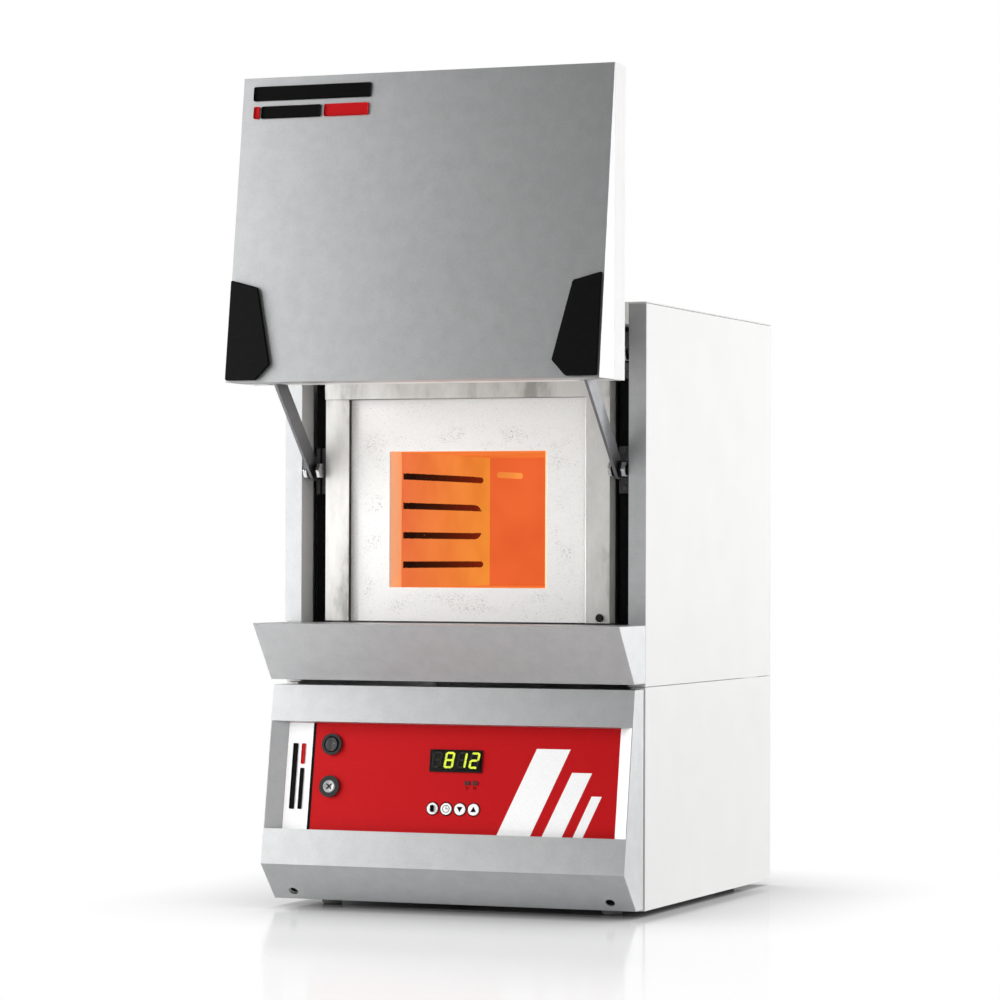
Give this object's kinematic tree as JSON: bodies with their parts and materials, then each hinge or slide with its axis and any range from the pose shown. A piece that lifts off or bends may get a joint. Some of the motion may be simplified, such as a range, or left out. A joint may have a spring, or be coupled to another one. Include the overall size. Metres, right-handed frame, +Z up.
{
  "type": "bench chamber furnace",
  "caption": "Bench-top electric kiln: a hot ceramic chamber in a white steel case over a control module, with a door that lifts level on parallel arms.",
  "frame": {"origin": "on the bench at the centre of the whole object's box, door open", "axes": "+X to the viewer's right when facing the door, +Y from the door to the back, +Z up"},
  "size_m": [0.378, 0.5522, 0.8],
  "materials": {
    "white_enamel": "white powder coat",
    "silver_enamel": "silver-grey satin powder coat with a fine metallic grain",
    "black_plastic": "moulded, fine grain",
    "black_steel": "matt black paint",
    "zinc_steel": "bright zinc plate",
    "bright_steel": "aluminised sheet, satin",
    "ceramic_board": "vacuum-formed fibre, speckled",
    "hot_ceramic": "refractory, glowing orange with heat",
    "fibre_board": "low density fibre board",
    "element_alloy": "oxidised resistance wire",
    "red_panel": "satin printed overlay",
    "key_white": "satin",
    "lens_clear": "faceted lens",
    "display_dark": "smoked window",
    "circuit_green": "solder mask",
    "rubber_black": "matt"
  },
  "bodies": {
    "case": {"base_chassis": "zinc_steel", "divider_plate": "zinc_steel", "chamber_casing": "zinc_steel", "chamber_stand": "zinc_steel", "foot_front_left": "rubber_black", "foot_front_right": "rubber_black", "foot_rear_left": "rubber_black", "foot_rear_right": "rubber_black", "lower_side_left": "white_enamel", "lower_side_right": "white_enamel", "upper_side_left": "white_enamel", "upper_side_right": "white_enamel", "top_cover": "white_enamel", "upper_rear_panel": "white_enamel", "lower_rear_panel": "white_enamel", "cable_gland": "black_plastic", "switch_bezel": "black_plastic", "lamp_bezel": "black_plastic", "power_relay": "black_plastic", "door_switch_body": "black_plastic", "lip_panel": "silver_enamel", "fascia": "silver_enamel", "control_panel": "red_panel", "display_module": "display_dark", "lamp_lens": "lens_clear", "controller_board": "circuit_green", "frame_leg_left": "bright_steel", "frame_leg_right": "bright_steel", "frame_top_bar": "bright_steel", "chamber_collar": "ceramic_board", "thermocouple": "ceramic_board", "chamber_wall_left": "hot_ceramic", "chamber_wall_right": "hot_ceramic", "chamber_roof": "hot_ceramic", "chamber_hearth": "hot_ceramic", "chamber_rear_wall": "hot_ceramic", "insulation_jacket": "fibre_board", "heating_element_left": "element_alloy", "heating_element_right": "element_alloy", "hinge_post_left": "black_steel", "hinge_post_right": "black_steel"},
    "lower_arms": {"lower_arm_left": "zinc_steel", "lower_arm_right": "zinc_steel"},
    "upper_arms": {"upper_arm_left": "zinc_steel", "upper_arm_right": "zinc_steel"},
    "door": {"door_front_shell": "silver_enamel", "door_rear_frame": "white_enamel", "door_insulation": "fibre_board", "door_plug": "ceramic_board", "hinge_bar_left": "zinc_steel", "hinge_bar_right": "zinc_steel", "handle_left": "black_plastic", "handle_right": "black_plastic"},
    "rocker": {"switch_rocker": "black_plastic"},
    "switch_plunger": {"door_switch_plunger": "black_plastic"},
    "key_page_cap": {"key_page": "key_white"},
    "key_clock_cap": {"key_clock": "key_white"},
    "key_down_cap": {"key_down": "key_white"},
    "key_up_cap": {"key_up": "key_white"}
  },
  "joints": [
    {"name": "door_swing", "type": "hinge", "parent": "case", "child": "lower_arms", "pos_m": [0, -0.13285, 0.425], "axis": [1, 0, 0], "range_deg": [0, 121.2]},
    {"name": "door_level", "type": "hinge", "parent": "lower_arms", "child": "door", "pos_m": [0, -0.22685, 0.5215], "axis": [1, 0, 0], "range_deg": [-121.4, 0.2]},
    {"name": "upper_arm_swing", "type": "hinge", "parent": "case", "child": "upper_arms", "pos_m": [0, -0.13285, 0.535], "axis": [1, 0, 0], "range_deg": [-0.2, 121.4]},
    {"name": "rocker_tilt", "type": "hinge", "parent": "case", "child": "rocker", "pos_m": [-0.1242, -0.16093, 0.15824], "axis": [0, 0.1664, 0.9861], "range_deg": [0, 14]},
    {"name": "door_switch_press", "type": "slide", "parent": "case", "child": "switch_plunger", "axis": [0, 1, 0], "range_m": [0, 0.003], "stiffness_N_per_m": 150, "springref_m": -0.002},
    {"name": "key_page_press", "type": "slide", "parent": "case", "child": "key_page_cap", "axis": [0, 0.9861, -0.1664], "range_m": [0, 0.0008], "stiffness_N_per_m": 600, "springref_m": -0.0006},
    {"name": "key_clock_press", "type": "slide", "parent": "case", "child": "key_clock_cap", "axis": [0, 0.9861, -0.1664], "range_m": [0, 0.0008], "stiffness_N_per_m": 600, "springref_m": -0.0006},
    {"name": "key_down_press", "type": "slide", "parent": "case", "child": "key_down_cap", "axis": [0, 0.9861, -0.1664], "range_m": [0, 0.0008], "stiffness_N_per_m": 600, "springref_m": -0.0006},
    {"name": "key_up_press", "type": "slide", "parent": "case", "child": "key_up_cap", "axis": [0, 0.9861, -0.1664], "range_m": [0, 0.0008], "stiffness_N_per_m": 600, "springref_m": -0.0006}
  ],
  "couplings": [
    {"joint": "door_level", "follows": "door_swing", "ratio": -1},
    {"joint": "upper_arm_swing", "follows": "door_swing", "ratio": 1}
  ]
}
